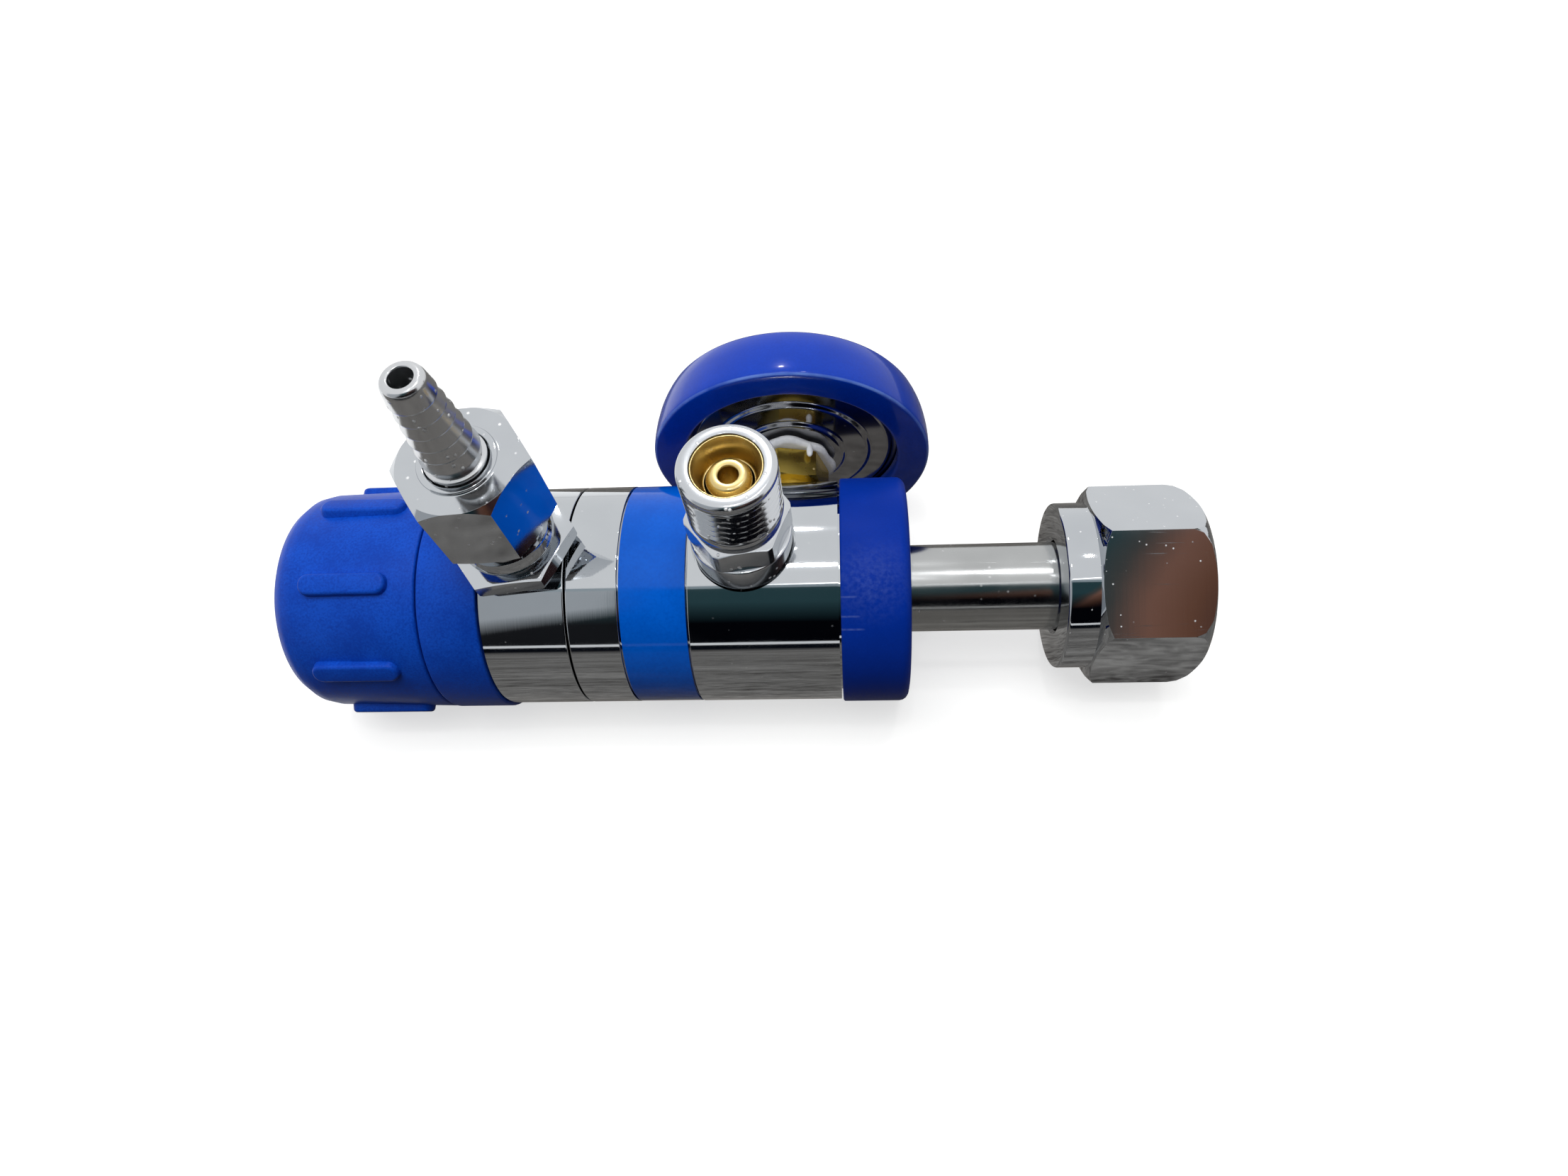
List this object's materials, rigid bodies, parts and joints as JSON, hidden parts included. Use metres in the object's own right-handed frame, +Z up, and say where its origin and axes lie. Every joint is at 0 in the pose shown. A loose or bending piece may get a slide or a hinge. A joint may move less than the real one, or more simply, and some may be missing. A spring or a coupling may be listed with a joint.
{
  "type": "oxygen regulator",
  "caption": "Inline gas regulator with a turning flow knob, a pressure gauge behind the barrel, a threaded outlet, a barbed outlet and a loose inlet nut.",
  "frame": {"origin": "centre of the regulator's footprint, on the surface that it lies on", "axes": "+X along the barrel from the flow knob to the inlet nut, +Y towards the gauge, +Z up"},
  "size_m": [0.1498, 0.0606, 0.0796],
  "materials": {
    "blue_nylon": "satin moulded",
    "blue_boot": "glossy moulded",
    "blue_rubber": "satin moulded",
    "blue_band": "gloss",
    "chrome_plate": "turned and plated",
    "polished_steel": "polished",
    "turned_steel": "turned, lightly scratched",
    "machined_brass": "machined",
    "sintered_bronze": "sintered",
    "spring_steel": "drawn wire",
    "black_rubber": "matte",
    "white_nylon": "moulded",
    "white_sealant": "dried paste",
    "white_dial": "matt enamel",
    "black_enamel": "matt enamel",
    "clear_lens": "clear"
  },
  "bodies": {
    "regulator": {"flow_head": "chrome_plate", "knob_skirt": "blue_nylon", "spindle_seal": "black_rubber", "detent_spring": "spring_steel", "main_body": "chrome_plate", "label_band": "blue_band", "bumper_ring": "blue_rubber", "spring_plate": "machined_brass", "regulating_spring": "spring_steel", "valve_spring": "spring_steel", "inlet_stem": "turned_steel", "inlet_filter": "sintered_bronze", "outlet_body": "chrome_plate", "outlet_insert": "machined_brass", "outlet_poppet_spring": "spring_steel", "barb_base": "chrome_plate", "barb_nut": "chrome_plate", "hose_barb": "chrome_plate", "gauge_stem": "machined_brass", "thread_sealant": "white_sealant", "gauge_case": "polished_steel", "gauge_boot": "blue_boot", "gauge_lens": "clear_lens", "gauge_dial": "white_dial", "gauge_movement": "machined_brass", "bourdon_tube": "machined_brass"},
    "knob": {"flow_knob": "blue_nylon", "knob_screw": "turned_steel", "knob_spindle": "machined_brass", "flow_disc": "machined_brass", "detent_ring": "white_nylon"},
    "ball": {"detent_ball": "turned_steel"},
    "piston": {"piston": "machined_brass", "piston_seal": "black_rubber"},
    "valve": {"inlet_valve": "machined_brass"},
    "nut": {"inlet_nut": "chrome_plate"},
    "poppet": {"outlet_poppet": "machined_brass"},
    "pointer": {"gauge_pointer": "black_enamel"}
  },
  "joints": [
    {"name": "knob_turn", "type": "hinge", "parent": "regulator", "child": "knob", "pos_m": [-0.06, -0.01079, 0.01956], "axis": [1, 0, 0], "range_deg": [0, 330]},
    {"name": "nut_spin", "type": "hinge", "parent": "regulator", "child": "nut", "pos_m": [0.06, -0.01079, 0.01956], "axis": [1, 0, 0], "continuous": true},
    {"name": "piston_slide", "type": "slide", "parent": "regulator", "child": "piston", "axis": [1, 0, 0], "range_m": [-0.0006, 0], "stiffness_N_per_m": 20000, "deforming": ["regulating_spring"]},
    {"name": "valve_slide", "type": "slide", "parent": "regulator", "child": "valve", "axis": [1, 0, 0], "range_m": [-0.0006, 0], "deforming": ["valve_spring"]},
    {"name": "ball_slide", "type": "slide", "parent": "regulator", "child": "ball", "axis": [1, 0, 0], "range_m": [0, 0.0005], "stiffness_N_per_m": 800, "deforming": ["detent_spring"]},
    {"name": "poppet_slide", "type": "slide", "parent": "regulator", "child": "poppet", "axis": [0, 0.1859, -0.9826], "range_m": [0, 0.0015], "stiffness_N_per_m": 300, "deforming": ["outlet_poppet_spring"]},
    {"name": "pointer_turn", "type": "hinge", "parent": "regulator", "child": "pointer", "pos_m": [0.0084, 0.02261, 0.02588], "axis": [0, -0.9826, -0.1859], "range_deg": [0, 270], "stiffness_Nm_per_rad": 0.0002}
  ],
  "couplings": [
    {"joint": "valve_slide", "follows": "piston_slide", "ratio": 1}
  ]
}
